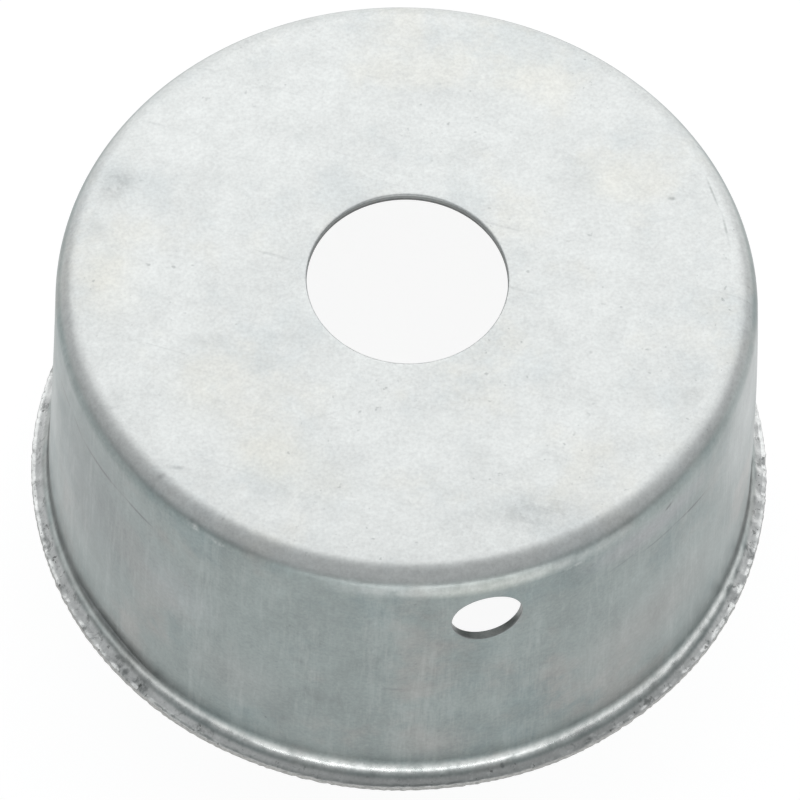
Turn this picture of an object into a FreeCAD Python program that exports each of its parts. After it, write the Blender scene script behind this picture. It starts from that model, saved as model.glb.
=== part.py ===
import FreeCAD, Part
import math
import os

# Deep drawn sheet-metal cup, closed end up, mouth down on the z = 0 plane.
# Origin at the centre of the mouth, +Z along the cup's axis to the closed end.
# The small side hole points along -Y.  All sizes in millimetres.

# driving dimensions
sheet = 1.0             # thickness of the drawn sheet
height = 40.5           # mouth plane to the outside of the closed end
topDia = 80.0           # outside diameter where wall and closed end would meet
draftDeg = 4.0          # the wall opens out by this angle towards the mouth
cornerR = 3.0           # outside radius round the closed end
rimR = 3.0              # outside radius where the wall turns out into the rim
rimReach = 2.2          # how far the sheared edge of the rim stands out past the foot of the wall
rimDress = 0.2          # depth dressed flat off the underside of the rim
centreHoleDia = 23.0    # hole pierced in the closed end
sideHoleDia = 8.0       # hole pierced in the wall
sideHoleZ = 32.0        # its height above the mouth plane


def vec(r, z):
    # a point of the half section, r out from the axis and z up
    return FreeCAD.Vector(r, 0, z)


def arc(centre, radius, startDeg, endDeg):
    # an arc of the half section, angles measured from straight out towards up
    pts = []
    for deg in (startDeg, (startDeg + endDeg) / 2.0, endDeg):
        a = math.radians(deg)
        pts.append(vec(centre[0] + radius * math.cos(a), centre[1] + radius * math.sin(a)))
    return Part.Arc(*pts).toShape(), pts[0], pts[2]


def halfSection():
    # the sheet's section: flat end, corner, drafted wall, turned-out rim, all one thickness
    draft = math.radians(draftDeg)
    topR = topDia / 2.0

    # centre of the corner: a corner radius below the end face and in from the wall line
    cornerC = (topR - cornerR * (1.0 / math.cos(draft) - math.tan(draft)), height - cornerR)

    # the rim turns out round a centre outside the wall, and is sheared where it has
    # reached rimReach; endAngle is what is left of its turn to the flat
    endAngle = math.asin(math.cos(draft) - rimReach / rimR)
    rimZ = (rimR + sheet) * math.cos(endAngle) - rimDress
    rimX = topR + (height - rimZ) * math.tan(draft) + rimR / math.cos(draft)
    rimC = (rimX, rimZ)
    endDeg = 270.0 - math.degrees(endAngle)

    # outside of the sheet, from the middle of the end to the sheared edge
    cornerOut, a0, a1 = arc(cornerC, cornerR, 90.0, draftDeg)
    rimOut, b0, b1 = arc(rimC, rimR, 180.0 + draftDeg, endDeg)
    # inside of the sheet, one thickness behind
    cornerIn, c0, c1 = arc(cornerC, cornerR - sheet, 90.0, draftDeg)
    rimFlatDeg = 180.0 + math.degrees(math.asin(rimZ / (rimR + sheet)))
    rimIn, d0, d1 = arc(rimC, rimR + sheet, 180.0 + draftDeg, rimFlatDeg)

    edges = [
        Part.makeLine(vec(0, height), a0), cornerOut,
        Part.makeLine(a1, b0), rimOut,
        Part.makeLine(b1, vec(b1.x, 0)),            # sheared edge, cut straight down
        Part.makeLine(vec(b1.x, 0), d1),            # underside dressed flat
        rimIn, Part.makeLine(d0, c1), cornerIn,
        Part.makeLine(c0, vec(0, height - sheet)),
        Part.makeLine(vec(0, height - sheet), vec(0, height)),
    ]
    return Part.Face(Part.Wire(Part.sortEdges(edges)[0]))


def drawnCup():
    axis = FreeCAD.Vector(0, 0, 1)
    cup = halfSection().revolve(FreeCAD.Vector(0, 0, 0), axis, 360)

    # centre hole, straight through the closed end
    centreHole = Part.makeCylinder(centreHoleDia / 2.0, 4 * sheet,
                                   FreeCAD.Vector(0, 0, height - 2.5 * sheet), axis)
    # side hole, square to the cup's axis, through the front wall only
    sideHole = Part.makeCylinder(sideHoleDia / 2.0, topDia / 2.0,
                                 FreeCAD.Vector(0, -topDia / 4.0, sideHoleZ),
                                 FreeCAD.Vector(0, -1, 0))
    return cup.cut(centreHole).cut(sideHole).removeSplitter()


os.makedirs("parts", exist_ok=True)
cup = drawnCup()
if cup.ShapeType == "Compound":
    cup = cup.Solids[0]
cup.exportStep("parts/drawn_cup.step")
box = cup.BoundBox
print("drawn_cup solids", len(cup.Solids), "valid", cup.isValid(), "faces", len(cup.Faces))
print("box", [round(v, 3) for v in (box.XMin, box.YMin, box.ZMin, box.XMax, box.YMax, box.ZMax)])
print("volume mm3", round(cup.Volume, 1))
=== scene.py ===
import math
import bpy
import numpy as np
from mathutils import Matrix, Vector


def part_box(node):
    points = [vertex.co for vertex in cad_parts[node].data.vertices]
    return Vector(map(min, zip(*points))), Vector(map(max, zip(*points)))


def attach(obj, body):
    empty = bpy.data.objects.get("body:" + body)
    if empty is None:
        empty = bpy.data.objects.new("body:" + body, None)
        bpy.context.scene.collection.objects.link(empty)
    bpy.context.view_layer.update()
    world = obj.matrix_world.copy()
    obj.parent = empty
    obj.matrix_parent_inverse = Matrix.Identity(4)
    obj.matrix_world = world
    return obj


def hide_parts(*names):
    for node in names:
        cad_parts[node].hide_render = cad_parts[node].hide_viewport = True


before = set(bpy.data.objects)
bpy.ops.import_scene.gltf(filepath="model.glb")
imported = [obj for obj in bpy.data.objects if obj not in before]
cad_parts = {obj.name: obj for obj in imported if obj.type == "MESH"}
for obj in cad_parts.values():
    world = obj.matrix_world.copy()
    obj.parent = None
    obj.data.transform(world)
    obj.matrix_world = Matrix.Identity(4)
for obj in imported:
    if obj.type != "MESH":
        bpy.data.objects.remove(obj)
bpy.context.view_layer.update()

mm = 0.001
cupLow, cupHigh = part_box("drawn_cup")
print("stage: frame loaded, cup box", [round(v, 4) for v in (*cupLow, *cupHigh)])


cup = {
    "sheet": 1.0,            # mm, thickness of the drawn sheet
    "height": (cupHigh[2] - cupLow[2]) / mm,
    "topR": 40.0,            # where the wall line meets the closed end
    "draftDeg": 4.0,
    "cornerR": 3.0,          # outside radius round the closed end
    "rimR": 3.0,             # outside radius at the foot of the wall
    "rimReach": 2.2,         # how far the sheared edge stands out past the foot of the wall
    "dress": 0.2,            # flat dressed on the underside
    "holeR": 11.5,
    "holeRoll": 0.16,        # rolled-over lip of the centre hole
    "sideR": 4.0,
    "sideZ": 32.0,
    "sideClear": 0.3,        # ring of true wall kept round the side hole
    # the side hole's wall: mm past its radius, and depth under the outside of the cup
    "sideLip": ((0.26, 0.0), (0.11, 0.02), (0.03, 0.09), (0.0, 0.22), (0.0, 0.62), (0.03, 0.9)),
    "sideFlare": 0.06,       # added to its radius where the punch came out
    "sideNick": 0.015,       # unevenness of its torn half
    "around": 640,           # columns round the cup
    "pad": (14, 5.2, 5.1),   # side hole panel: columns each side, mm below and above its middle
    "padRows": 12,
    "padRings": 5,
    "padCrowd": 1.3,         # over one crowds the panel's rings towards the hole
}


def wallRadius(z):
    # outside of the wall: a cone that opens out towards the mouth
    return cup["topR"] + (cup["height"] - z) * math.tan(math.radians(cup["draftDeg"]))


def arcPoints(centre, radius, startDeg, endDeg, count):
    # points on a circle of the half section, evenly spaced in angle
    a = np.radians(np.linspace(startDeg, endDeg, count))
    return np.stack([centre[0] + radius * np.cos(a), centre[1] + radius * np.sin(a)], -1)


def linePoints(a, b, count):
    # evenly spaced points on a straight line from a to b
    t = np.linspace(0, 1, count)[:, None]
    return np.asarray(a) * (1 - t) + np.asarray(b) * t


def sheetSection():
    # the closed half section of the sheet: out over the end, down the wall, round the rim,
    # back up the inside, and down the wall of the centre hole
    draft = math.radians(cup["draftDeg"])
    t, h = cup["sheet"], cup["height"]
    k = cup["cornerR"] * (1 / math.cos(draft) - math.tan(draft))
    cornerC = (cup["topR"] - k, h - cup["cornerR"])
    end = math.asin(math.cos(draft) - cup["rimReach"] / cup["rimR"])
    rimZ = (cup["rimR"] + t) * math.cos(end) - cup["dress"]
    rimC = (wallRadius(rimZ) + cup["rimR"] / math.cos(draft), rimZ)
    flatDeg = 180 + math.degrees(math.asin(rimZ / (cup["rimR"] + t)))

    cornerOut = arcPoints(cornerC, cup["cornerR"], 90, cup["draftDeg"], 15)
    cornerIn = arcPoints(cornerC, cup["cornerR"] - t, cup["draftDeg"], 90, 9)
    rimOut = arcPoints(rimC, cup["rimR"], 180 + cup["draftDeg"], 270 - math.degrees(end), 34)
    rimIn = arcPoints(rimC, cup["rimR"] + t, flatDeg, 180 + cup["draftDeg"], 8)

    # wall rows: a few above the side hole's panel, the panel's own, and the long run below
    zHigh, zLow = cup["sideZ"] + cup["pad"][2], cup["sideZ"] - cup["pad"][1]
    panel = np.linspace(zHigh, zLow, cup["padRows"] + 1)
    below = np.linspace(zLow, rimOut[0, 1], 11)[1:]
    wallOut = np.stack([wallRadius(np.r_[panel, below]), np.r_[panel, below]], -1)
    inR = wallRadius(panel) - t / math.cos(draft)
    belowIn = np.linspace(rimIn[-1, 1], zLow, 8)[1:-1]
    wallIn = np.stack([np.r_[wallRadius(belowIn) - t / math.cos(draft), inR[::-1]],
                       np.r_[belowIn, panel[::-1]]], -1)
    edge = rimOut[-1]
    r0 = cup["holeR"]
    roll = cup["holeRoll"]
    parts = [
        np.array([[r0, h - 0.75 * t], [r0, h - 1.6 * roll], [r0 + 0.25 * roll, h - 0.55 * roll],
                  [r0 + 0.9 * roll, h - 0.1 * roll], [r0 + 1.9 * roll, h]]),
        linePoints((r0 + 0.9, h), cornerOut[0], 10)[:-1],
        cornerOut, wallOut[:-1], rimOut[:-1],
        np.array([[edge[0] - 0.10, edge[1] + 0.03], [edge[0] - 0.02, edge[1] - 0.05],
                  [edge[0], edge[1] - 0.20], [edge[0] - 0.02, edge[1] * 0.5],
                  [edge[0], 0.12], [edge[0] - 0.06, 0.0]]),
        linePoints((edge[0] - 0.3, 0.0), rimIn[0], 3)[:-1],
        rimIn, wallIn, cornerIn,
        linePoints(cornerIn[-1], (r0 + 0.3, h - t), 6)[1:],
        np.array([[r0 + 0.05, h - t], [r0, h - t + 0.06]]),
    ]
    names = ["hole", "end", "corner", "wall", "rim", "shear", "under", "rimIn", "wallIn",
             "cornerIn", "endIn", "holeIn"]
    starts = dict(zip(names, np.cumsum([0] + [len(p) for p in parts])[:-1]))
    return np.concatenate(parts), starts


def panelGrid():
    # the panel round the side hole, as rings from the hole's circle out to a rectangle;
    # each corner of the rectangle's edge keeps its own direction from the hole's middle
    cols, below, above = cup["pad"]
    rows = cup["padRows"]
    zHigh, zLow = cup["sideZ"] + above, cup["sideZ"] - below
    zs = np.linspace(zHigh, zLow, rows + 1)
    phi = 2 * math.pi * np.arange(-cols, cols + 1) / cup["around"]
    loopPhi = np.r_[phi, np.full(rows - 1, phi[-1]), phi[::-1], np.full(rows - 1, phi[0])]
    loopZ = np.r_[np.full(len(phi), zHigh), zs[1:-1], np.full(len(phi), zLow), zs[1:-1][::-1]]
    x = wallRadius(loopZ) * np.sin(loopPhi)
    dz = loopZ - cup["sideZ"]
    a = np.arctan2(dz, x)
    return loopPhi, loopZ, x, dz, a


def onWall(x, z, depth):
    # a point of the wall straight in front of (x, z), depth below the outside
    r = wallRadius(z) - depth
    return np.stack([x, -np.sqrt(np.maximum(r * r - x * x, 0)), z], -1)


def smooth(t):
    # 0 below 0, 1 above 1, and a soft step 3t^2 - 2t^3 between them
    t = np.clip(t, 0, 1)
    return t * t * (3 - 2 * t)


def bump(x, middle, width):
    # a rounded hump of height one at middle, gone at a width away
    return smooth(1 - np.abs(x - middle) / width)


wear = {
    # lengths in mm; each "At" is an azimuth from the side hole and a half width, in degrees
    "seed": 11,
    "bulge": 0.26,               # the right side of the wall stands out
    "bulgeAt": (78, 42),
    "pinch": 0.10,               # the left side is drawn in
    "pinchAt": (-98, 40),
    "unround": 0.035,            # strength of a slow wave round the wall
    "wallFoot": 5.0,             # height where the wall starts
    "wallSpan": 6.5,             # how much of the cup's height isn't wall
    "scallop": 0.19,             # puckers left in the rim by the blank holder
    "scallopShare": (0.22, 0.95, 0.40),    # all round, on the right, on the left
    "scallopAt": ((64, 58), (-72, 44)),
    "scallopOut": 0.06,          # how far the puckers also move the rim outwards
    "bead": 0.055,               # burr turned up along the rim's edge, with a groove inside it
    "beadAt": (44.66, 0.22),     # radius and half width
    "grooveAt": (44.28, 0.24),
    "ragged": 0.05,              # fine and coarse raggedness of the sheared edge
    "burr": 0.20,
    "burrOver": 1.7,             # only the highest crests of a wave become burrs
    "edgeLimit": (-0.2, 0.19),   # the edge never moves further in or out than this
    "edgeLift": 0.06,            # and waves up and down by about this
    "crease": 0.16,              # fold lines at the foot of the wall on the left
    "creaseAt": (-65, 15),
    "creaseZ": (2.9, 0.35, 0.55),          # height, its swing, half width
    "sag": 0.05,                 # unevenness of the closed end
    "rimFrom": (42.75, 1.6),     # radius where the rim's skin starts, and over what width
    "rimBelow": (5.0, 2.0),      # height under which it lies, and over what depth
    "edgeFrom": (44.1, 0.55),    # radius where the sheared edge starts, and over what width
    "endR": (38.0, 39.0),        # where the closed end's sag fades out, and where it stops
}


def wavy(phi, orders, rng):
    # a periodic wave round the cup: a sum of cosines with seeded strengths and phases
    out = np.zeros_like(phi)
    for n in orders:
        out += rng.normal() * np.cos(n * phi + rng.uniform(0, 2 * math.pi))
    return out / math.sqrt(len(orders))


def bumpAt(phi, place):
    # a rounded hump round the cup, from its azimuth and half width in degrees
    return bump(phi, math.radians(place[0]), math.radians(place[1]))


def handle(points):
    # what drawing, shearing and handling did to the true shape: every point moves a little
    # along the radius and the height by amounts worked out from its own azimuth and height
    rng = np.random.default_rng(wear["seed"])
    x, y, z = points.T
    r = np.hypot(x, y)
    phi = np.arctan2(x, -y)                      # 0 at the side hole, positive to the right
    h = cup["height"]
    rimR, rimWide = wear["rimFrom"]
    rimZ, rimDeep = wear["rimBelow"]
    rimZone = smooth((r - rimR) / rimWide) * smooth((rimZ - z) / rimDeep)
    edgeZone = smooth((r - wear["edgeFrom"][0]) / wear["edgeFrom"][1])

    # the wall is a little out of round half way down
    along = np.clip((z - wear["wallFoot"]) / (h - wear["wallSpan"]), 0, 1)
    belly = np.sin(np.pi * along) ** 0.8 * (r > 36)
    dr = belly * (wear["bulge"] * bumpAt(phi, wear["bulgeAt"])
                  - wear["pinch"] * bumpAt(phi, wear["pinchAt"]))
    dr += belly * wear["unround"] * wavy(phi, range(2, 9), rng)

    # puckers: strong on the right of the rim, faint elsewhere; two wave trains that beat together
    even, right, left = wear["scallopShare"]
    atRight, atLeft = wear["scallopAt"]
    where = even + right * bumpAt(phi, atRight) + left * bumpAt(phi, atLeft)
    pucker = np.cos(82 * phi + 1.2 * np.sin(7 * phi)) * (0.65 + 0.35 * np.cos(19 * phi + 1.0))
    pucker = pucker + 0.45 * np.cos(137 * phi + 2.0 * np.sin(11 * phi) + 0.6)
    dz = rimZone * where * wear["scallop"] * pucker * smooth((z - 0.1) / 0.5)
    dr += rimZone * (1 - edgeZone) * where * wear["scallopOut"] * pucker

    # a turned-up bead along the edge with a groove inside it, coming and going round the rim
    top = (z > 0.5) & (z < 3)
    come = np.clip(0.75 + 0.45 * wavy(phi, range(3, 14), rng), 0.1, 1.4)
    bead = 1.3 * bump(r, *wear["beadAt"]) - 0.55 * bump(r, *wear["grooveAt"])
    dz += top * come * wear["bead"] * bead

    # fold lines where the foot of the wall meets the rim, on the left
    creaseZ, swing, creaseWide = wear["creaseZ"]
    crease = bumpAt(phi, wear["creaseAt"]) * bump(z, creaseZ + swing * np.sin(9 * phi), creaseWide)
    dr -= (z < 5) * (r > 42) * wear["crease"] * crease

    # sheared edge: fine raggedness, a slower wander, and a few burrs
    ragged = wavy(phi, range(90, 310, 7), rng) * wear["ragged"]
    ragged = ragged + wear["ragged"] * wavy(phi, range(3, 17), rng)
    spikes = wavy(phi, range(60, 300, 11), rng)
    ragged += wear["burr"] * np.clip(spikes - wear["burrOver"], 0, 1.3)
    dr += edgeZone * np.clip(ragged, *wear["edgeLimit"])
    lift = wear["edgeLift"] * wavy(phi, range(20, 240, 9), rng)
    dz += edgeZone * smooth((z - 0.05) / 0.3) * lift

    # the closed end is not quite flat
    q = np.clip(r / wear["endR"][0], 0, 1)
    flat = (r < wear["endR"][1]) & (z > h - 4)
    dz += flat * wear["sag"] * (1 - q ** 2) * (0.5 * np.cos(2 * phi + 0.7) * q - 0.5 * q)
    scale = 1 + dr / np.maximum(r, 1.0)
    return np.stack([x * scale, y * scale, z + dz], -1)


coatAt = {
    # where the zones of the sheet lie, in mm
    "drawnR": (38.4, 1.5),       # the drawn skin starts past this radius, over this width
    "drawnZ": (-0.1, 1.8),       # and past this depth under the closed end
    "lowZ": (4.2, 1.0),          # the rim lies below this height
    "rimMid": (43.07, 2.00),     # middle of the rim's radius
    "rimBand": 1.15,             # half width of the band polished there, its painted highlight growing towards the front
    "shoulderZ": (38.5, 1.4),    # a fainter painted highlight just under the corner, in front
    "footZ": (3.7, 1.6),         # painted shade at the foot of the wall: height, half width
    "footR": (43.02, 0.3),       # on the rim it lies inside this radius, fading over this width
    "lipR": (43.2, 0.5),         # rough zinc of the lip starts past this radius
    "lipFront": 0.35,            # and this much further out in front
    "shearWide": 0.42,           # the sheared face: from the edge in, and below this height
    "shearZ": 0.74,
}


def findZones(points):
    # which part of the sheet each point of the true shape is on, each from 0 to 1:
    # steps in the radius and the height, and the distance from each hole's axis
    x, y, z = points.T
    r = np.hypot(x, y)
    h = cup["height"]
    edge = r.max()
    lowZ, lowDeep = coatAt["lowZ"]
    low = smooth((lowZ - z) / lowDeep)
    turn = np.hypot(r - coatAt["rimMid"][0], z - coatAt["rimMid"][1])
    side = np.hypot(x, z - cup["sideZ"])
    facing = -y / np.maximum(r, 1)                  # 1 towards the side hole, 0 square to it
    drawnR, drawnWide = coatAt["drawnR"]
    drawnZ, drawnDeep = coatAt["drawnZ"]
    rimBand = low * (r > 41) * smooth(1 - turn / coatAt["rimBand"])
    shoulderSheen = (r > 39) * bump(z, *coatAt["shoulderZ"]) * smooth((facing - 0.86) / 0.14)
    # painted shade in the fillet where the wall turns into the rim
    filletShade = 0.85 * low * smooth((coatAt["footR"][0] - r) / coatAt["footR"][1])
    lipR, lipWide = coatAt["lipR"]
    lipOut = coatAt["lipFront"] * smooth((facing - 0.4) / 0.4)
    inCentreHole = r < cup["holeR"] + 0.03
    inSideHole = (side < cup["sideR"] + 0.05) & (y < 0)
    return {
        "drawn": smooth((r - drawnR) / drawnWide) * smooth((h - z - drawnZ) / drawnDeep),
        # a polished band all round, painted brighter towards the front as a highlight; the band under the
        # corner is painted highlight only
        "burnishAndSheen": rimBand * (0.25 + 0.75 * smooth((facing - 0.38) / 0.32)) + 0.45 * shoulderSheen,
        # the foot zone is painted shade: darker at the foot of the wall and in the fillet, on the sides
        # but not in front
        "foot": (r > 41) * np.maximum(bump(z, *coatAt["footZ"]), filletShade) * smooth((0.80 - facing) / 0.35),
        "lip": low * smooth((r - lipR - lipOut) / lipWide),
        "shear": 1.0 * ((r > edge - coatAt["shearWide"]) & (z < coatAt["shearZ"])),
        "cut": 1.0 * (inCentreHole | inSideHole),
    }


def buildCup():
    # the section carried round the axis, with the side hole's two panels and its wall let in
    section, starts = sheetSection()
    n, m = cup["around"], len(section)
    phi = 2 * math.pi * (np.arange(n) - n // 2) / n
    r, z = section[:, 0][:, None], section[:, 1][:, None]
    grid = np.stack([r * np.sin(phi), -r * np.cos(phi), np.broadcast_to(z, (m, n))], -1).reshape(-1, 3)

    i = np.arange(m)[:, None]
    j = np.arange(n)[None, :]
    inn, jn = (i + 1) % m, (j + 1) % n
    quads = np.stack([i * n + j, inn * n + j, inn * n + jn, i * n + jn], -1)
    cols, rows, mid = cup["pad"][0], cup["padRows"], n // 2
    keep = np.ones((m, n), bool)
    outTop = starts["wall"]
    inTop = starts["cornerIn"] - 1
    keep[outTop:outTop + rows, mid - cols:mid + cols] = False
    keep[inTop - rows:inTop, mid - cols:mid + cols] = False
    faces = [quads[keep]]
    verts = [grid]
    count = len(grid)

    # rings of the outside panel, the hole's wall, and the inside panel, as one strip
    loopPhi, loopZ, x, dz, a = panelGrid()
    c = np.arange(-cols, cols + 1) + mid
    rowsOut = outTop + np.arange(rows + 1)
    rowsIn = inTop - np.arange(rows + 1)

    def loopIds(rowIds):
        return np.r_[rowIds[0] * n + c, rowIds[1:-1] * n + c[-1], rowIds[-1] * n + c[::-1],
                     rowIds[1:-1][::-1] * n + c[0]]

    outer, inner = loopIds(rowsOut), loopIds(rowsIn)
    thick = cup["sheet"] / math.cos(math.radians(cup["draftDeg"]))
    rings = []
    steps = np.linspace(1, 0, cup["padRings"] + 1)[1:-1] ** cup["padCrowd"]
    xIn = (wallRadius(loopZ) - thick) * np.sin(loopPhi)
    near = cup["sideR"] + cup["sideClear"]

    def circle(radius, depth):
        return onWall(radius * np.cos(a), cup["sideZ"] + radius * np.sin(a), depth)

    def between(across, s, depth):
        # a ring part of the way, s, from the hole's clear ring out to the panel's edge
        return onWall(across * s + near * np.cos(a) * (1 - s),
                      cup["sideZ"] + dz * s + near * np.sin(a) * (1 - s), depth)

    for s in steps:
        rings.append(between(x, s, 0.0))
    nick = cup["sideNick"] * np.cos(3 * a + 0.4)
    for wider, depth in cup["sideLip"]:
        rings.append(circle(cup["sideR"] + wider + nick * (depth > 0.5), depth))
    rings.append(circle(cup["sideR"] + cup["sideFlare"], thick))
    for s in steps[::-1]:
        rings.append(between(xIn, s, thick))
    ids = [outer]
    for ring in rings:
        verts.append(ring)
        ids.append(count + np.arange(len(ring)))
        count += len(ring)
    ids.append(inner)
    for p, q in zip(ids[:-1], ids[1:]):
        faces.append(np.stack([p, q, np.roll(q, -1), np.roll(p, -1)], -1))

    true = np.concatenate(verts)
    points = handle(true)
    zones = findZones(true)
    faces = np.concatenate(faces)

    # drop the grid points that the panels replaced
    used = np.unique(faces)
    renumber = np.full(len(points), -1)
    renumber[used] = np.arange(len(used))
    return points[used] * mm, renumber[faces], {name: value[used] for name, value in zones.items()}


def makeMesh(name, points, faces):
    # a smooth-shaded object from points in metres and faces of four
    mesh = bpy.data.meshes.new(name)
    mesh.vertices.add(len(points))
    mesh.vertices.foreach_set("co", points.astype(np.float32).ravel())
    mesh.loops.add(faces.size)
    mesh.loops.foreach_set("vertex_index", faces.astype(np.int32).ravel())
    mesh.polygons.add(len(faces))
    mesh.polygons.foreach_set("loop_start", np.arange(0, faces.size, 4, dtype=np.int32))
    mesh.update(calc_edges=True)
    mesh.validate()
    mesh.shade_smooth()
    piece = bpy.data.objects.new(name, mesh)
    bpy.context.scene.collection.objects.link(piece)
    return piece


points, faces, zones = buildCup()
cupPiece = makeMesh("cup_shell", points, faces)
for zone, value in zones.items():
    layer = cupPiece.data.attributes.new(zone, "FLOAT", "POINT")
    layer.data.foreach_set("value", value.astype(np.float32))
print("stage: cup sheet made,", len(points), "points", len(faces), "faces")


zinc = {
    "end": (0.788, 0.806, 0.796),       # dull zinc of the closed end
    "endWarm": (0.802, 0.804, 0.768),
    "endCream": (0.835, 0.826, 0.762),
    "endCool": (0.755, 0.786, 0.786),
    "wall": (0.303, 0.346, 0.340),      # drawn, ironed zinc, with painted shade making it darker than the closed end
    "wallWarm": (0.340, 0.352, 0.342),
    "wallCool": (0.268, 0.320, 0.320),
    "burnishAndSheen": (0.830, 0.852, 0.838),   # polished by the die's radius, and a painted highlight
    "lip": (0.890, 0.900, 0.890),       # never ironed
    # the lip's dull zinc, also used for its painted shade in front
    "lipDark": (0.335, 0.345, 0.340),
    "edge": (0.360, 0.365, 0.355),      # bare sheared steel
    "edgeTorn": (0.560, 0.560, 0.545),
    "cut": (0.440, 0.452, 0.448),       # wall of a pierced hole
    "cutTorn": (0.235, 0.240, 0.238),
    "footShadeTone": (0.115, 0.124, 0.122),   # painted shade where the wall meets the rim
    "mark": (0.185, 0.200, 0.200),
    "bright": (0.860, 0.870, 0.860),
    "pin": (0.10, 0.105, 0.10),          # pinholes in the lip
    "endRough": 0.44,
    "wallRough": 0.34,
    "metal": 0.85,
    "reliefStrength": 0.32,
    "reliefDepth": 0.00006,              # metres
    "sideCutBelow": (0.0385, 0.0386),    # metres; a cut face under this belongs to the side hole
    "sheared": (0.52, 0.36),             # mm under the end face where torn metal gives way to sheared
    "fray": 0.0003,                      # metres, how ragged that line is
}


textures = {
    # noises of the coat: place, turn in degrees and stretch where they have them, then the noise
    "clouds": {"scale": 85, "detail": 5.0, "rough": 0.65},
    "tint": {"at": (0.3, 0.1, 0.2), "scale": 64, "detail": 4.0, "rough": 0.62},
    "streaks": {"at": (0.07, 0, 0), "scale": 420, "detail": 3.0, "rough": 0.6},
    "lipScale": {"at": (0.01, 0.02, 0), "scale": 620, "detail": 5.0, "rough": 0.72, "twist": 0.4},
    "fray": {"size": (1, 1, 3), "scale": 1500, "detail": 3.0, "rough": 0.7},
    "shearLines": {"size": (1, 1, 0.5), "scale": 1700, "detail": 3.0, "rough": 0.7},
    "grain": {"scale": 900, "detail": 4.0, "rough": 0.65},
    "fine": {"at": (0.04, 0.01, 0.03), "scale": 2600, "detail": 3.0, "rough": 0.6},
    "mottle": {"scale": 240, "detail": 4.0, "rough": 0.6},
    "blotch": {"at": (0.4, 0, 0), "size": (1, 1, 1.6), "scale": 190, "detail": 4.0, "rough": 0.65},
    "specks": {"at": (0.02, 0.05, 0.01), "scale": 1300, "detail": 2.0, "rough": 0.5},
    "speckPatch": {"at": (0.2, 0.0, 0.1), "scale": 95, "detail": 2.0, "rough": 0.5},
    "drawLines": {"size": (1, 1, 16), "scale": 1900, "detail": 3.0, "rough": 0.7},
    "broadLines": {"at": (0.1, 0, 0), "size": (1, 1, 9), "scale": 300, "detail": 3.0, "rough": 0.6},
    "rolled": {"turn": (0, 0, -27), "size": (14, 1, 1), "scale": 1200, "detail": 3.0, "rough": 0.65},
    "scuffs": {"turn": (0, 0, -31), "size": (18, 1, 4), "scale": 1300, "detail": 2.0, "rough": 0.5,
               "twist": 0.15},
    "crossed": {"turn": (0, 0, 8), "size": (22, 1, 4), "scale": 1100, "detail": 2.0, "rough": 0.5,
                "twist": 0.1},
    "scuffPatch": {"at": (0.5, 0.2, 0), "scale": 85, "detail": 2.0, "rough": 0.5},
    "pins": {"at": (0.03, 0.03, 0.02), "scale": 1150, "detail": 2.0, "rough": 0.5},
    "flecks": {"at": (0.06, 0.01, 0.05), "scale": 900, "detail": 3.0, "rough": 0.6},
    "peel": {"scale": 520, "detail": 3.0, "rough": 0.6},
    "rimSkin": {"scale": 1300, "detail": 4.0, "rough": 0.7},
}


amount = {
    # how strongly each of them shows
    "cool": 0.8,
    "warm": 0.85,
    "grain": 0.065,
    "mottle": 0.040,
    "fine": 0.080,
    "blotch": 0.085,
    "specks": 0.34,
    "drawLines": 0.050,
    "rolled": 0.022,
    "scuffs": 0.13,
    "stains": 1.5,           # the marks' own strengths times this
    "rimMarks": 0.8,
    "pins": 0.75,
    "flecks": 0.55,
    "reliefPeel": 0.5,
    "reliefDraw": 0.45,
    "reliefRolled": 0.18,
    "reliefLines": 0.5,
    "reliefRim": 1.9,
}


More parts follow.
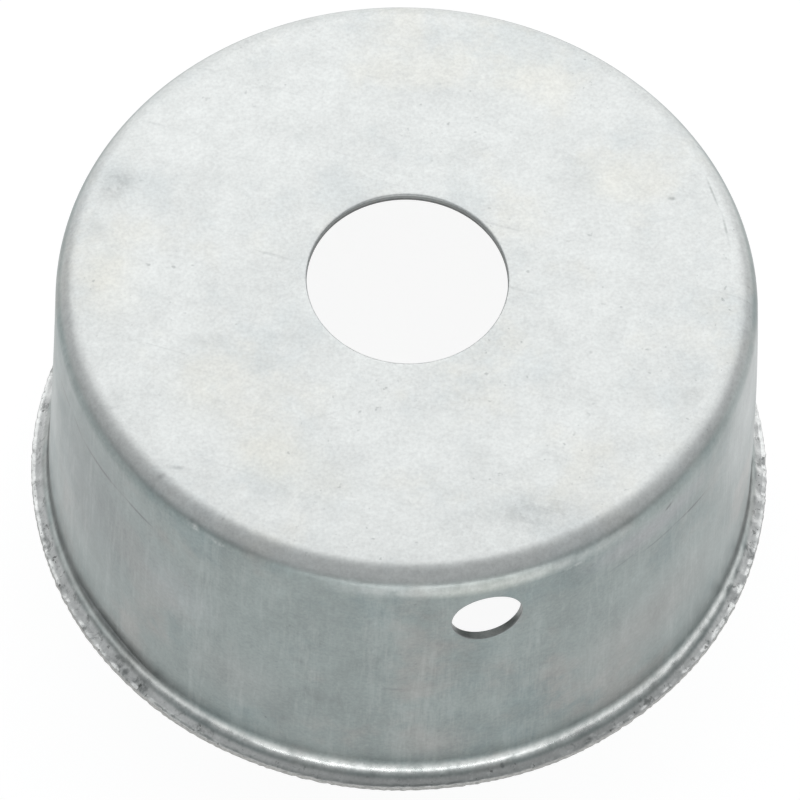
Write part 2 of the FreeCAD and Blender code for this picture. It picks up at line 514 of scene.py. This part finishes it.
class Graph:
    # short names for building a material's nodes; all but node, wire and put give back a socket
    def __init__(self, material):
        material.use_nodes = True
        self.tree = material.node_tree
        self.tree.nodes.clear()

    def node(self, kind, **settings):
        made = self.tree.nodes.new(kind)
        for key, value in settings.items():
            setattr(made, key, value)
        return made

    def wire(self, a, b):
        self.tree.links.new(a, b)

    def put(self, socket, value):
        # wires the value if it is a socket, otherwise sets it
        if hasattr(value, "is_output"):
            self.wire(value, socket)
        else:
            socket.default_value = value

    def maths(self, operation, a, b=0.0, clamp=False):
        made = self.node("ShaderNodeMath", operation=operation, use_clamp=clamp)
        self.put(made.inputs[0], a)
        self.put(made.inputs[1], b)
        return made.outputs[0]

    def plus(self, a, b):
        return self.maths("ADD", a, b)

    def times(self, a, b):
        return self.maths("MULTIPLY", a, b)

    def mix(self, factor, a, b, blend="MIX"):
        # a where the factor is 0, b where it is 1
        made = self.node("ShaderNodeMix", data_type="RGBA", blend_type=blend)
        self.put(made.inputs[0], factor)
        for socket, value in ((made.inputs[6], a), (made.inputs[7], b)):
            self.put(socket, (*value, 1.0) if isinstance(value, tuple) else value)
        return made.outputs[2]

    def ramp(self, value, low, high, a=0.0, b=1.0, soft=True):
        # a below low, b above high, a soft or a straight slope between them
        made = self.node("ShaderNodeMapRange", interpolation_type="SMOOTHSTEP" if soft else "LINEAR")
        self.put(made.inputs[0], value)
        for k, v in zip((1, 2, 3, 4), (low, high, a, b)):
            made.inputs[k].default_value = v
        return made.outputs[0]

    def place(self, vector, at=(0, 0, 0), turn=(0, 0, 0), size=(1, 1, 1)):
        # the point seen from a frame that is moved, turned and stretched
        made = self.node("ShaderNodeMapping", vector_type="TEXTURE")
        self.wire(vector, made.inputs["Vector"])
        made.inputs["Location"].default_value = at
        made.inputs["Rotation"].default_value = [math.radians(v) for v in turn]
        made.inputs["Scale"].default_value = size
        return made.outputs[0]

    def noise(self, vector, scale, detail=3.0, rough=0.55, twist=0.0):
        made = self.node("ShaderNodeTexNoise")
        self.wire(vector, made.inputs["Vector"])
        made.inputs["Scale"].default_value = scale
        made.inputs["Detail"].default_value = detail
        made.inputs["Roughness"].default_value = rough
        made.inputs["Distortion"].default_value = twist
        return made.outputs["Fac"]

    def texture(self, vector, name):
        # one of the named noises, with a frame of its own only where it has one
        settings = dict(textures[name])
        frameOf = {key: settings.pop(key) for key in ("at", "turn", "size") if key in settings}
        if frameOf:
            vector = self.place(vector, **frameOf)
        return self.noise(vector, **settings)

    def spread(self, value, low, high, reach):
        # a straight slope from minus reach to plus reach
        return self.ramp(value, low, high, -reach, reach, False)

    def patch(self, vector, at, size, turn=(0, 0, 0), soft=0.6):
        # a soft-edged ellipsoid: 1 in its middle, 0 past its size; at and size in mm
        near = self.place(vector, at=[v * mm for v in at], turn=turn, size=[v * mm for v in size])
        ball = self.node("ShaderNodeTexGradient", gradient_type="SPHERICAL")
        self.wire(near, ball.inputs["Vector"])
        return self.ramp(ball.outputs["Fac"], 0.0, soft)


def spotAt(azimuthDeg, radius, z):
    # a place from its azimuth, counted from the side hole, its radius and its height
    a = math.radians(azimuthDeg)
    return (radius * math.sin(a), -radius * math.cos(a), z)


def wallSpot(azimuthDeg, z):
    # a place on the outside of the wall
    return spotAt(azimuthDeg, wallRadius(z), z)


marks = {
    # smudges and scuffs on the closed end: place, half sizes, turn about the axis, strength
    "end": [((-29.8, 19.8, 40.5), (2.6, 4.4, 3.0), -35, 0.30),
            ((-33.5, 14.0, 40.5), (1.6, 2.6, 3.0), -20, 0.12),
            ((-24.0, -3.5, 40.5), (4.0, 1.5, 3.0), -12, 0.18),
            ((-30.3, -19.4, 40.5), (2.2, 0.45, 3.0), -22, 0.32),
            ((-32.6, -19.9, 40.5), (0.9, 0.5, 3.0), 20, 0.30),
            ((-35.3, -8.8, 40.5), (1.3, 2.0, 3.0), 10, 0.13),
            ((27.6, -22.3, 40.5), (2.3, 1.7, 3.0), 40, 0.26),
            ((23.0, -21.0, 40.5), (1.4, 2.6, 3.0), 5, 0.12),
            ((17.9, -14.1, 40.5), (0.5, 0.4, 3.0), 0, 0.30),
            ((32.4, 4.4, 40.5), (0.75, 0.42, 3.0), -15, 0.48),
            ((34.5, 4.3, 40.5), (1.0, 0.5, 3.0), -15, 0.26),
            ((37.2, 4.2, 40.5), (0.22, 3.2, 3.0), 4, 0.42),
            ((37.35, -1.2, 40.5), (0.24, 3.2, 3.0), -4, 0.36),
            ((6.8, -33.0, 40.5), (8.5, 3.6, 3.0), -8, 0.24),
            ((-14.0, -24.0, 40.5), (8.0, 3.2, 3.0), -35, 0.08),
            ((6.0, 25.0, 40.5), (9.0, 2.2, 3.0), -10, 0.08),
            ((21.0, 9.0, 40.5), (8.0, 3.0, 3.0), -25, 0.08)],
    # creamy areas of the closed end: place, half sizes, turn, strength
    "cream": [((-33.0, 7.0, 40.5), (5.0, 9.0, 3.0), -12, 0.60),
              ((-18.5, -21.5, 40.5), (10.0, 5.0, 3.0), -40, 0.55),
              ((-27.0, -10.0, 40.5), (4.0, 6.0, 3.0), 0, 0.35),
              ((20.0, 24.0, 40.5), (8.0, 5.0, 3.0), -20, 0.30),
              ((27.0, 8.0, 40.5), (7.0, 5.0, 3.0), -25, 0.30)],
    # scratches on the wall: azimuth from the side hole, height, half sizes, slant, strength
    "scratches": [(-86.0, 33.2, (3.4, 4.0, 0.34), -10, 0.80),
                  (-79.8, 33.4, (2.0, 4.0, 0.34), 16, 0.75),
                  (-71.5, 33.2, (5.8, 4.0, 0.38), -3, 1.00),
                  (-61.0, 33.3, (3.6, 4.0, 0.34), 5, 0.85),
                  (39.9, 31.5, (3.8, 4.0, 0.30), 7, 1.00),
                  (32.0, 31.9, (3.8, 4.0, 0.28), 0, 0.55),
                  (24.0, 32.6, (3.4, 4.0, 0.26), -6, 0.32),
                  (33.6, 36.9, (0.9, 2.0, 0.42), -25, 0.90),
                  (17.6, 35.7, (0.32, 2.0, 0.26), 0, 0.32),
                  (9.2, 23.7, (0.8, 2.0, 0.6), 0, 0.20),
                  (-34.6, 7.7, (0.20, 2.0, 0.22), 0, 0.70),
                  (-14.4, 18.9, (1.8, 2.0, 0.30), 2, 0.30),
                  (-18.6, 32.4, (0.8, 3.0, 0.7), 0, 0.22),
                  (-22.7, 15.5, (0.45, 3.0, 3.2), -8, 0.22),
                  (-27.0, 12.0, (0.40, 3.0, 4.0), 12, 0.16),
                  (10.0, 6.0, (0.3, 3.0, 0.4), 0, 0.36)],
    # cloudy stains on the wall, laid out the same way
    "stains": [(-26.0, 15.5, (3.2, 4.0, 2.6), 0, 0.20),
               (-33.0, 9.0, (3.0, 4.0, 4.0), 0, 0.10),
               (-10.0, 12.0, (4.5, 4.0, 6.5), 0, 0.12),
               (-29.4, 22.0, (1.6, 4.0, 1.1), 15, 0.18),
               (4.0, 17.0, (6.0, 4.0, 4.0), 0, 0.08),
               (22.0, 24.0, (6.0, 4.0, 4.0), 0, 0.09),
               (-48.0, 30.0, (7.0, 4.0, 3.0), 12, 0.10),
               (-70.0, 26.0, (4.0, 4.0, 4.0), 20, 0.10),
               (52.0, 20.0, (4.0, 4.0, 10.0), -10, 0.12)],
    # tinted areas of the wall: azimuth, height, half sizes, slant, strength, colour
    "tints": [(30.0, 35.2, (14.0, 6.0, 3.2), 2, 0.60, (0.385, 0.388, 0.405)),
              # this light band just under the corner in front is a painted highlight
              (0.0, 38.3, (12.0, 4.0, 1.5), 0, 0.55, (0.500, 0.535, 0.480)),
              (30.0, 16.0, (16.0, 9.0, 9.0), 0, 0.55, (0.345, 0.342, 0.333)),
              (-74.0, 25.0, (18.0, 14.0, 20.0), 0, 0.95, (0.238, 0.268, 0.268)),
              (62.0, 31.0, (14.0, 12.0, 15.0), 0, 0.95, (0.470, 0.500, 0.498)),
              (-40.0, 14.0, (9.0, 6.0, 8.0), 0, 0.35, (0.370, 0.380, 0.375)),
              (-8.0, 7.0, (7.0, 5.0, 5.0), 0, 0.50, (0.400, 0.388, 0.375)),
              (-52.0, 24.0, (9.0, 6.0, 8.0), 0, 0.40, (0.365, 0.390, 0.400))],
    # bright rubs, laid out as the scratches are
    "rubs": [(-49.2, 38.9, (1.6, 3.0, 0.5), 10, 0.42),
             (-44.0, 38.6, (2.4, 3.0, 0.4), 8, 0.22),
             (15.0, 37.3, (2.6, 3.0, 0.55), -4, 0.26),
             (-27.0, 20.0, (0.8, 3.0, 1.8), 0, 0.16),
             (46.0, 4.8, (1.2, 3.0, 0.4), 0, 0.22)],
    # pits in the rim: azimuth, radius, height, half sizes, strength
    "pits": [(-62.2, 43.9, 1.3, (1.3, 1.1, 0.9), 0.9), (-60.0, 44.2, 1.1, (0.6, 0.8, 0.6), 0.9),
             (-56.5, 43.9, 1.2, (1.5, 0.9, 0.8), 0.85), (3.0, 43.6, 1.3, (0.35, 0.5, 0.5), 0.9),
             (17.0, 44.3, 0.9, (0.9, 0.5, 0.6), 0.8), (27.5, 43.6, 1.4, (0.4, 0.4, 0.5), 1.0),
             (58.0, 44.5, 0.9, (0.4, 0.4, 0.5), 1.0), (46.0, 44.4, 0.9, (0.4, 0.4, 0.5), 0.9),
             (64.0, 44.0, 1.0, (0.3, 0.3, 0.5), 0.9), (-88.0, 44.3, 0.9, (1.6, 0.5, 0.6), 0.5)],
    # painted shade in the folds at the foot of the wall: azimuth, radius, height, half sizes, strength
    "foldShade": [(-75.0, 42.75, 3.1, (3.0, 1.0, 0.26), 0.50), (-69.5, 42.8, 2.9, (3.0, 1.0, 0.22), 0.75),
              (-64.0, 42.85, 2.6, (3.2, 1.0, 0.26), 0.60), (-58.5, 42.8, 2.8, (2.6, 1.0, 0.22), 0.70),
              (-54.0, 42.75, 3.2, (1.8, 1.0, 0.22), 0.45)],
}


def coatTone(g, where, zone):
    # broad colour: each zone of the sheet has its own tone, with warm and cool clouds laid over it; the
    # wall's darker tone is partly painted shade
    clouds = g.texture(where, "clouds")
    tint = g.texture(where, "tint")
    warm = g.ramp(tint, 0.50, 0.66)
    cool = g.ramp(clouds, 0.50, 0.68)
    coolEnd = g.times(cool, amount["cool"])
    warmEnd = g.mix(g.times(warm, amount["warm"]), zinc["end"], zinc["endWarm"])
    end = g.mix(coolEnd, warmEnd, zinc["endCool"])
    for at, size, turn, strength in marks["cream"]:
        spot = g.patch(where, at, size, (0, 0, turn), 0.9)
        spot = g.times(spot, g.ramp(tint, 0.35, 0.60, 0.3, 1.0))
        end = g.mix(g.times(spot, strength), end, zinc["endCream"])
    wall = g.mix(cool, g.mix(warm, zinc["wall"], zinc["wallWarm"]), zinc["wallCool"])
    for azimuth, z, size, slant, strength, colour in marks["tints"]:
        spot = g.patch(where, wallSpot(azimuth, z), size, (0, slant, azimuth), 0.95)
        wall = g.mix(g.times(spot, strength), wall, colour)
    tone = g.mix(g.ramp(zone["drawn"], 0.0, 1.0), end, wall)

    # the rim: a burnished band with a painted highlight towards the front, then rough zinc that is dull
    # in places, with painted shade making it darker in front
    streaks = g.texture(where, "streaks")
    # painted highlight on the rim's band and under the corner
    band = g.times(zone["burnishAndSheen"], g.ramp(streaks, 0.30, 0.60, 0.45, 1.0))
    tone = g.mix(band, tone, zinc["burnishAndSheen"])
    # painted shade at the foot of the wall
    tone = g.mix(zone["foot"], tone, zinc["footShadeTone"])
    parts = g.node("ShaderNodeSeparateXYZ")
    g.wire(where, parts.inputs[0])
    # painted shade: the lip turns darker towards the front
    frontShade = g.ramp(parts.outputs["Y"], -0.044, -0.030, 0.55, 0.0)
    scale = g.texture(where, "lipScale")
    dullAndFrontShade = g.maths("MAXIMUM", g.ramp(scale, 0.50, 0.70), frontShade)
    return g.mix(zone["lip"], tone, g.mix(dullAndFrontShade, zinc["lip"], zinc["lipDark"])), clouds


def cutTone(g, where, zone, tone):
    # sheared and pierced faces: a smooth bright band where the punch went in, torn metal under it
    parts = g.node("ShaderNodeSeparateXYZ")
    g.wire(where, parts.inputs[0])
    fray = g.texture(where, "fray")
    low, high = [(cup["height"] - depth) * mm for depth in zinc["sheared"]]
    line = g.plus(parts.outputs["Z"], g.times(fray, zinc["fray"]))
    tornEnd = g.ramp(line, low, high, 1.0, 0.0)
    onEnd = g.ramp(parts.outputs["Z"], *zinc["sideCutBelow"], 0.0, 1.0, False)
    torn = g.times(onEnd, tornEnd)
    tornSide = g.times(g.maths("SUBTRACT", 1.0, onEnd), g.ramp(fray, 0.40, 0.62, 0.0, 0.35))
    torn = g.plus(torn, tornSide)
    tone = g.mix(zone["cut"], tone, g.mix(torn, zinc["cut"], zinc["cutTorn"]))
    bright = g.ramp(g.texture(where, "shearLines"), 0.35, 0.65)
    return g.mix(zone["shear"], tone, g.mix(bright, zinc["edge"], zinc["edgeTorn"]))


def zincSheet():
    # dull zinc on the closed end, ironed and streaked zinc on the wall with painted shade in its darker
    # tone, bare steel where sheared
    material = bpy.data.materials.new("zinc_coated_sheet")
    g = Graph(material)
    where = g.node("ShaderNodeTexCoord").outputs["Object"]
    zone = {name: g.node("ShaderNodeAttribute", attribute_name=name).outputs["Fac"] for name in zones}
    onWallFac = g.ramp(zone["drawn"], 0.0, 1.0)
    offWall = g.maths("SUBTRACT", 1.0, onWallFac)
    tone, clouds = coatTone(g, where, zone)

    # fine mottling of the zinc and tiny dark specks
    grain = g.texture(where, "grain")
    fine = g.texture(where, "fine")
    mottle = g.texture(where, "mottle")
    shade = g.ramp(grain, 0.25, 0.75, 1 - amount["grain"], 1 + amount["grain"], False)
    shade = g.plus(shade, g.spread(mottle, 0.3, 0.7, amount["mottle"]))
    shade = g.plus(shade, g.spread(fine, 0.3, 0.7, amount["fine"]))
    blotch = g.spread(g.texture(where, "blotch"), 0.32, 0.68, amount["blotch"])
    shade = g.plus(shade, g.times(blotch, onWallFac))
    specks = g.ramp(g.texture(where, "specks"), 0.68, 0.76)
    speckPatch = g.ramp(g.texture(where, "speckPatch"), 0.42, 0.62, 0.15, 1.0)
    tone = g.mix(g.times(g.times(specks, speckPatch), amount["specks"]), tone, zinc["mark"])
    shadeColour = g.node("ShaderNodeCombineColor")
    for k in range(3):
        g.wire(shade, shadeColour.inputs[k])
    tone = g.mix(1.0, tone, shadeColour.outputs[0], "MULTIPLY")

    # draw lines run down the wall; rolling lines and short light scratches cross the closed end
    drawLines = g.texture(where, "drawLines")
    broadLines = g.texture(where, "broadLines")
    rolled = g.texture(where, "rolled")
    scuffs = g.texture(where, "scuffs")
    crossed = g.texture(where, "crossed")
    scuffPatch = g.ramp(g.texture(where, "scuffPatch"), 0.44, 0.62)
    scuffLine = g.plus(g.ramp(scuffs, 0.65, 0.73), g.ramp(crossed, 0.68, 0.76, 0.0, 0.7))
    scuffLine = g.times(scuffLine, scuffPatch)
    drawn = g.times(onWallFac, g.spread(drawLines, 0.35, 0.65, -amount["drawLines"]))
    flat = g.times(offWall, g.spread(rolled, 0.35, 0.65, -amount["rolled"]))
    lines = g.plus(drawn, flat)
    broad = g.times(onWallFac, g.ramp(broadLines, 0.4, 0.62, 0.045, -0.040, False))
    lines = g.plus(lines, broad)
    lines = g.plus(lines, g.times(offWall, g.times(scuffLine, amount["scuffs"])))

    # single marks, each a soft ellipsoid; most are broken up by the grain or the mottling
    dark = lines
    for at, size, turn, strength in marks["end"]:
        spot = g.patch(where, at, size, (0, 0, turn), 0.9)
        spot = g.times(spot, g.ramp(grain, 0.40, 0.60, 0.30, 1.0))
        dark = g.plus(dark, g.times(spot, strength))
    for azimuth, z, size, slant, strength in marks["scratches"]:
        spot = g.patch(where, wallSpot(azimuth, z), size, (0, slant, azimuth), 0.7)
        dark = g.plus(dark, g.times(spot, strength))
    for azimuth, z, size, slant, strength in marks["stains"]:
        spot = g.patch(where, wallSpot(azimuth, z), size, (0, slant, azimuth), 0.95)
        spot = g.times(spot, g.ramp(mottle, 0.3, 0.65, 0.25, 1.0))
        dark = g.plus(dark, g.times(spot, strength * amount["stains"]))
    # the pits are dark marks; the fold marks among these are painted shade in the creases
    for azimuth, radius, z, size, strength in marks["pits"] + marks["foldShade"]:
        spot = g.patch(where, spotAt(azimuth, radius, z), size, (0, 0, azimuth), 0.6)
        spot = g.times(spot, g.ramp(grain, 0.40, 0.58, 0.3, 1.0))
        dark = g.plus(dark, g.times(spot, strength * amount["rimMarks"]))
    tone = g.mix(g.maths("MULTIPLY", dark, 1.0, True), tone, zinc["mark"])
    light = g.times(lines, -1.0)
    for azimuth, z, size, slant, strength in marks["rubs"]:
        spot = g.patch(where, wallSpot(azimuth, z), size, (0, slant, azimuth), 0.9)
        spot = g.times(spot, g.ramp(grain, 0.42, 0.58, 0.2, 1.0))
        light = g.plus(light, g.times(spot, strength))
    tone = g.mix(g.maths("MULTIPLY", light, 1.0, True), tone, zinc["bright"])

    # pinholes and flecks of the rim's rough skin
    pin = g.ramp(g.texture(where, "pins"), 0.66, 0.72)
    fleck = g.ramp(g.texture(where, "flecks"), 0.58, 0.70)
    tone = g.mix(g.times(g.times(pin, zone["lip"]), amount["pins"]), tone, zinc["pin"])
    tone = g.mix(g.times(g.times(fleck, zone["lip"]), amount["flecks"]), tone, zinc["bright"])
    tone = cutTone(g, where, zone, tone)

    # roughness follows the same zones
    rough = g.plus(g.times(offWall, zinc["endRough"]), g.times(onWallFac, zinc["wallRough"]))
    rough = g.plus(rough, g.ramp(clouds, 0.3, 0.7, -0.04, 0.05, False))
    rough = g.plus(rough, g.spread(grain, 0.3, 0.7, 0.03))
    rough = g.maths("SUBTRACT", rough, g.times(zone["burnishAndSheen"], 0.08))
    rough = g.plus(rough, g.times(zone["lip"], 0.05))
    bare = g.maths("MAXIMUM", zone["shear"], zone["cut"])
    rough = g.maths("ADD", rough, g.times(bare, 0.12), True)

    # relief: orange peel, rolling and draw lines, and the rim's rough skin
    height = g.times(g.texture(where, "peel"), amount["reliefPeel"])
    height = g.plus(height, g.times(g.times(drawLines, onWallFac), amount["reliefDraw"]))
    height = g.plus(height, g.times(g.times(rolled, offWall), amount["reliefRolled"]))
    height = g.maths("SUBTRACT", height, g.times(lines, amount["reliefLines"]))
    rimSkin = g.texture(where, "rimSkin")
    height = g.plus(height, g.times(g.times(rimSkin, zone["lip"]), amount["reliefRim"]))
    relief = g.node("ShaderNodeBump")
    relief.inputs["Strength"].default_value = zinc["reliefStrength"]
    relief.inputs["Distance"].default_value = zinc["reliefDepth"]
    g.wire(height, relief.inputs["Height"])

    surface = g.node("ShaderNodeBsdfPrincipled")
    surface.inputs["Metallic"].default_value = zinc["metal"]
    g.wire(tone, surface.inputs["Base Color"])
    g.wire(rough, surface.inputs["Roughness"])
    g.wire(relief.outputs[0], surface.inputs["Normal"])
    out = g.node("ShaderNodeOutputMaterial")
    g.wire(surface.outputs[0], out.inputs[0])
    return material


cupPiece.data.materials.append(zincSheet())
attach(cupPiece, "root")
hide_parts("drawn_cup")
print("stage: zinc finish made")


studio = {
    "floor": 8.0,                 # metres each way
    "floorPoints": 9,
    "floorTone": (0.18, 0.18, 0.18),
    "floorGlow": 0.91,            # what camera, glossy and transmission rays see on top of the shading
    "world": (0.35, 0.36, 0.365),
    "lamps": [
        # name, place, aim, size, power
        ("overhead", (0.25, 0.75, 1.05), (0, 0, 0.02), (2.8, 1.1), 9.0),
        ("backLow", (0.36, 1.35, 0.36), (0, 0, 0.02), (2.6, 0.5), 3.4),
        ("frontLow", (-0.25, -1.30, 0.13), (0, 0, 0.03), (1.8, 0.16), 2.5),
    ],
}


def makeFloor():
    # a flat sheet under the mouth; pale to the eye, with its own soft shadow
    half = studio["floor"] / 2
    n = studio["floorPoints"]
    line = np.linspace(-half, half, n)
    gx, gy = np.meshgrid(line, line, indexing="ij")
    pts = np.stack([gx.ravel(), gy.ravel(), np.full(n * n, cupLow[2])], -1)
    i, j = np.meshgrid(np.arange(n - 1), np.arange(n - 1), indexing="ij")
    a = (i * n + j).ravel()
    floor = makeMesh("studio_floor", pts, np.stack([a, a + n, a + n + 1, a + 1], -1))
    material = bpy.data.materials.new("pale_floor")
    g = Graph(material)
    soft = g.node("ShaderNodeBsdfDiffuse")
    soft.inputs["Color"].default_value = (*studio["floorTone"], 1)
    glow = g.node("ShaderNodeEmission")
    glow.inputs["Color"].default_value = (1, 1, 1, 1)
    path = g.node("ShaderNodeLightPath")
    seen = g.maths("MAXIMUM", path.outputs["Is Camera Ray"],
                   g.maths("MAXIMUM", path.outputs["Is Glossy Ray"], path.outputs["Is Transmission Ray"]))
    g.wire(g.times(seen, studio["floorGlow"]), glow.inputs["Strength"])
    both = g.node("ShaderNodeAddShader")
    g.wire(soft.outputs[0], both.inputs[0])
    g.wire(glow.outputs[0], both.inputs[1])
    out = g.node("ShaderNodeOutputMaterial")
    g.wire(both.outputs[0], out.inputs[0])
    floor.data.materials.append(material)


def makeWorld():
    # even grey air all round
    world = bpy.data.worlds.new("studio_air")
    bpy.context.scene.world = world
    world.use_nodes = True
    world.node_tree.nodes["Background"].inputs["Color"].default_value = (*studio["world"], 1)


def makeLamp(name, place, aim, size, power):
    # a level-edged lamp at its place, its front turned to the point it aims at
    data = bpy.data.lights.new(name, "AREA")
    data.shape = "RECTANGLE"
    data.size, data.size_y = size
    data.energy = power
    lamp = bpy.data.objects.new(name, data)
    bpy.context.scene.collection.objects.link(lamp)
    lamp.location = place
    lamp.rotation_euler = (Vector(aim) - Vector(place)).to_track_quat("-Z", "Y").to_euler()


view = {
    "azimuth": -15.0,        # degrees round from the side hole, to its left
    "elevation": 57.85,      # degrees
    "distance": 0.503,       # metres from the aim
    "roll": 2.46,            # degrees
    "aim": (-0.00025, 0.0143),   # sideways, and up the axis
    "lens": 189.8,               # mm, on a sensor this wide
    "sensor": 36,
    "clip": (0.01, 20),
}


def makeCamera():
    # placed at its distance from the aim along the azimuth and elevation, with its back to that
    # direction, then rolled about its line of sight
    e, a = math.radians(view["elevation"]), math.radians(view["azimuth"])
    right = Vector((math.cos(a), math.sin(a), 0))
    back = Vector((math.sin(a) * math.cos(e), -math.cos(a) * math.cos(e), math.sin(e)))
    up = back.cross(right)
    roll = math.radians(view["roll"])
    x = right * math.cos(roll) + up * math.sin(roll)
    y = -right * math.sin(roll) + up * math.cos(roll)
    target = right * view["aim"][0] + Vector((0, 0, view["aim"][1]))
    place = target + back * view["distance"]
    turn = Matrix((x, y, back)).transposed().to_4x4()
    turn.translation = place
    data = bpy.data.cameras.new("camera")
    data.lens = view["lens"]
    data.sensor_width = view["sensor"]
    data.clip_start, data.clip_end = view["clip"]
    camera = bpy.data.objects.new("camera", data)
    bpy.context.scene.collection.objects.link(camera)
    camera.matrix_world = turn
    bpy.context.scene.camera = camera


makeFloor()
makeWorld()
for lamp in studio["lamps"]:
    makeLamp(*lamp)
makeCamera()
bpy.context.scene.view_settings.view_transform = "Standard"
print("stage: floor, light and camera made")
